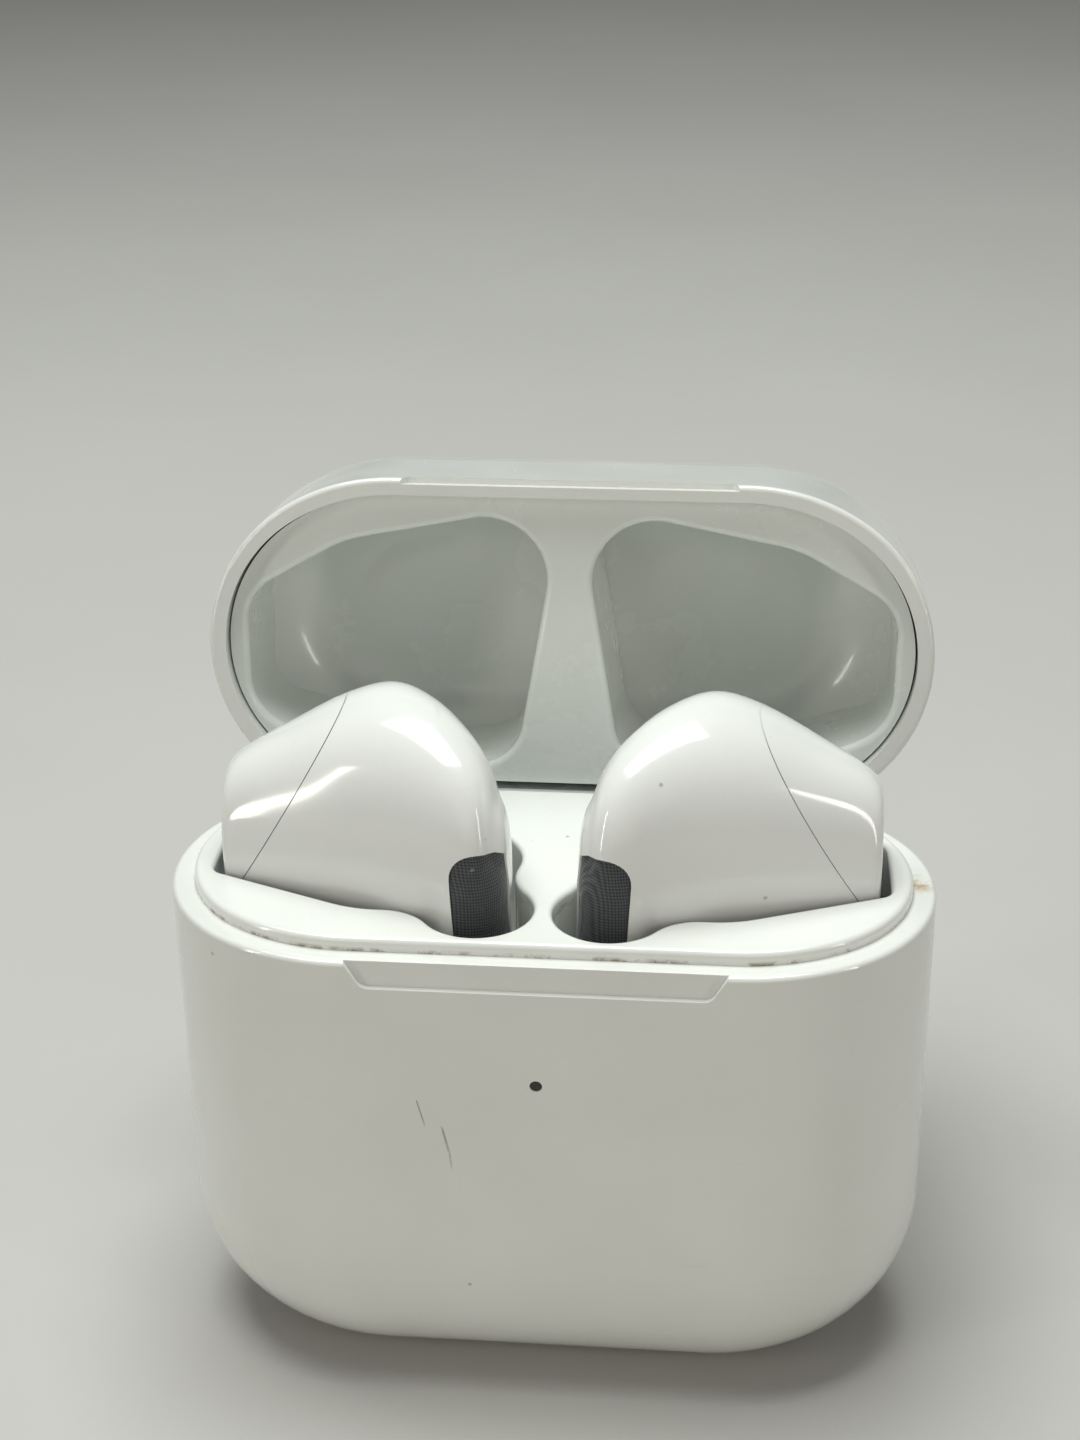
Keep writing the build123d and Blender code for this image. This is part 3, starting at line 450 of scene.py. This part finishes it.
def bud_solid():
    """Head and stem melted into one smooth form."""
    bm = bmesh.new()
    first, last = HEAD_SECTIONS[0], HEAD_SECTIONS[-1]
    rings = []
    for t in INNER_DOME:
        rings.append(head_ring(first[0] - INNER_BULGE * t, *first[1:], (1 - t * t) ** 0.5))
    for k in range(HEAD_SLICES):
        rings.append(head_ring(*between(HEAD_SECTIONS, k / HEAD_SLICES)))
    for inward, scale in OUTER_ROUND:
        rings.append(head_ring(last[0] - inward, *last[1:], scale))
    add_loft(bm, rings)

    tube = [disc_ring(*STEM, z) for z in STEM_HEIGHTS]
    tube += [disc_ring(*STEM_TOP, z) for z in (STEM_TOP_Z, STEM_DOME_Z)]
    centre_x, centre_y, radius = STEM_TOP
    for angle in STEM_DOME:
        height = STEM_DOME_Z + radius * sin(radians(angle))
        tube.append(disc_ring(centre_x, centre_y, radius * cos(radians(angle)), height))
    add_loft(bm, tube)

    form = new_object("bud_form", bm)
    remesh = form.modifiers.new("melt", "REMESH")
    remesh.mode = "VOXEL"
    remesh.voxel_size = VOXEL * MM
    smooth = form.modifiers.new("soften", "SMOOTH")
    smooth.factor = 0.5
    smooth.iterations = SOFTENING
    return settle(form)


def stadium(width, low, high):
    """Outline of an upright slot with round ends: offset across and height."""
    radius = width / 2
    outline = []
    for k in range(ARC_STEPS + 1):
        angle = pi * k / ARC_STEPS
        outline.append((radius * cos(angle), high - radius + radius * sin(angle)))
    for k in range(ARC_STEPS + 1):
        angle = pi + pi * k / ARC_STEPS
        outline.append((radius * cos(angle), low + radius + radius * sin(angle)))
    return outline


def slot_cutter(shrink=0.0):
    """Blocks that open the vent and the nozzle's mouth in the earbud's skin."""
    bm = bmesh.new()
    top_x, width, low, high = VENT
    outline = stadium(width - 2 * shrink, low + shrink, high - shrink)
    leaning = [(top_x + x - VENT_LEAN * (high - z), z) for x, z in outline]
    add_loft(bm, [[(x, y, z) for x, z in leaning] for y in VENT_DEPTH])
    centre_y, width, low, high = NOZZLE
    outline = stadium(width - 2 * shrink, low + shrink, high - shrink)
    add_loft(bm, [[(x, centre_y + y, z) for y, z in outline] for x in NOZZLE_DEPTH])
    return new_object("slot_cutter", bm)


def boolean(obj, cutter, operation):
    cut = obj.modifiers.new(operation.lower(), "BOOLEAN")
    cut.operation = operation
    cut.solver = "EXACT"
    cut.object = cutter
    return settle(obj)


def trim(obj, point, normal):
    """Keep the side of a plane that its normal points away from, and close the cut."""
    bm = bmesh.new()
    bm.from_mesh(obj.data)
    everything = bm.verts[:] + bm.edges[:] + bm.faces[:]
    cut = bmesh.ops.bisect_plane(
        bm, geom=everything, plane_co=Vector(point) * MM, plane_no=normal,
        clear_outer=True, dist=1e-7,
    )
    edges = [part for part in cut["geom_cut"] if isinstance(part, bmesh.types.BMEdge)]
    bmesh.ops.triangle_fill(bm, edges=edges, use_beauty=True, use_dissolve=False)
    bmesh.ops.recalc_face_normals(bm, faces=bm.faces)
    bm.to_mesh(obj.data)
    bm.free()
    return obj


def copy_of(obj, name, mirrored=False):
    made = obj.copy()
    made.data = obj.data.copy()
    made.name = name
    if mirrored:
        made.data.transform(Matrix.Scale(-1, 4, (1, 0, 0)))
        made.data.flip_normals()
    bpy.context.scene.collection.objects.link(made)
    return made


def finish_piece(obj, body, material, slot, *replaced):
    obj.data.materials.clear()
    obj.data.materials.append(material)
    for face in obj.data.polygons:
        face.material_index = 0
    obj.data.shade_smooth()
    obj.data.set_sharp_from_angle(angle=radians(SHARP_ANGLE))
    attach(obj, body)
    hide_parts(*replaced)


whole_bud = trim(bud_solid(), (0, 0, STEM_CUT_Z), (0, 0, -1))
mesh_core = copy_of(whole_bud, "mesh_core")
sink = mesh_core.modifiers.new("sink", "DISPLACE")
sink.mid_level = 0.0
sink.strength = -INSET * MM
settle(mesh_core)
full_cutter = slot_cutter()
inner_cutter = slot_cutter(MESH_CLEARANCE)
boolean(mesh_core, inner_cutter, "INTERSECT")
trim(mesh_core, (MESH_END_X, 0, 0), (1, 0, 0))
boolean(whole_bud, full_cutter, "DIFFERENCE")
seam_normal = Vector((SEAM_NORMAL[0], 0, SEAM_NORMAL[1])).normalized()
seam_point = Vector((SEAM_POINT[0], 0, SEAM_POINT[1]))
bud_cap = copy_of(whole_bud, "bud_cap")
trim(bud_cap, seam_point + seam_normal * SEAM_GAP, -seam_normal)
trim(whole_bud, seam_point, seam_normal)
for side, mirrored in (("right", False), ("left", True)):
    for source, piece, material, slot_name, node in (
        (whole_bud, "body", bud_white, "bud_plastic", "shell"),
        (bud_cap, "cap", bud_white, "bud_plastic", "front_cover"),
        (mesh_core, "vent", charcoal_mesh, "mesh_black", "vent_mesh"),
    ):
        made = copy_of(source, f"earbud_{side}_{piece}", mirrored)
        finish_piece(made, f"bud_{side}", material, slot_name, f"bud_{side}_{node}")
for helper in (whole_bud, bud_cap, mesh_core, full_cutter, inner_cutter):
    bpy.data.objects.remove(helper)


# ---------------------------------------------------------------- floor, lights, camera
FLOOR_HALF = 3.0
FLOOR_CELLS = 24


def grid_floor(half, steps):
    """A square floor sheet, in even cells."""
    bm = bmesh.new()
    bmesh.ops.create_grid(bm, x_segments=steps, y_segments=steps, size=half)
    mesh = bpy.data.meshes.new("floor")
    bm.to_mesh(mesh)
    bm.free()
    floor = bpy.data.objects.new("floor", mesh)
    bpy.context.scene.collection.objects.link(floor)
    return floor


def floor_paper():
    s = Shader("floor_paper")
    tone = s.noise(14, 4)
    s.surface({
        "Base Color": s.blend(tone, (0.50, 0.49, 0.47, 1), (0.56, 0.55, 0.53, 1)),
        "Roughness": s.ramp(s.noise(300, 4), 0.3, 0.7, 0.75, 0.9),
    })
    return s.material


floor = grid_floor(FLOOR_HALF, FLOOR_CELLS)
floor.data.materials.append(floor_paper())


def soft_light(name, place, size, watts, tint):
    """A rectangular light that faces the case."""
    data = bpy.data.lights.new(name, "AREA")
    data.shape = "RECTANGLE"
    data.size, data.size_y = size
    data.energy = watts
    data.color = tint
    light = bpy.data.objects.new(name, data)
    light.location = place
    light.rotation_euler = (Vector(CASE_MIDDLE) - Vector(place)).to_track_quat("-Z", "Y").to_euler()
    bpy.context.scene.collection.objects.link(light)


CASE_MIDDLE = (0, 0, 0.03)
EDGE_STRIP = (0.035, 0.34)
COOL_WHITE = (0.96, 1.0, 0.965)
WARM_WHITE = (1.0, 0.95, 0.88)
LAMP_WARM = (1.0, 0.90, 0.76)
soft_light("key_overhead", (-0.04, 0.06, 0.50), (0.34, 0.30), 2.7, COOL_WHITE)
soft_light("fill_front", (0.05, -0.60, 0.22), (0.60, 0.40), 0.30, LAMP_WARM)
soft_light("edge_left", (-0.40, -0.26, 0.12), EDGE_STRIP, 0.50, WARM_WHITE)
soft_light("edge_right", (0.42, -0.24, 0.12), EDGE_STRIP, 0.42, WARM_WHITE)

world = bpy.data.worlds.new("studio")
world.use_nodes = True
backdrop = world.node_tree.nodes["Background"]
backdrop.inputs["Color"].default_value = (0.78, 0.80, 0.80, 1)
backdrop.inputs["Strength"].default_value = 0.12
bpy.context.scene.world = world
bpy.context.scene.view_settings.view_transform = "Standard"

# The camera looks down at the open case from in front, a little to its right.
CAMERA_PLACE = Vector((13.15 * MM, -137.67 * MM, 112.83 * MM))
CAMERA_DOWN = radians(26.15)
CAMERA_TURN = radians(5.71)
CAMERA_ROLL = radians(-0.75)
FOCAL_LENGTH = 60.66        # mm, for a sensor SENSOR_HEIGHT mm tall
SENSOR_HEIGHT = 36.0
CLIP_START = 0.005
lens = bpy.data.cameras.new("camera")
lens.sensor_fit = "VERTICAL"
lens.sensor_height = SENSOR_HEIGHT
lens.lens = FOCAL_LENGTH
lens.clip_start = CLIP_START
camera = bpy.data.objects.new("camera", lens)
turn = Matrix.Rotation(CAMERA_TURN, 4, "Z")
tilt = Matrix.Rotation(pi / 2 - CAMERA_DOWN, 4, "X")
roll = Matrix.Rotation(CAMERA_ROLL, 4, "Z")
camera.matrix_world = Matrix.Translation(CAMERA_PLACE) @ turn @ tilt @ roll
bpy.context.scene.collection.objects.link(camera)
bpy.context.scene.camera = camera
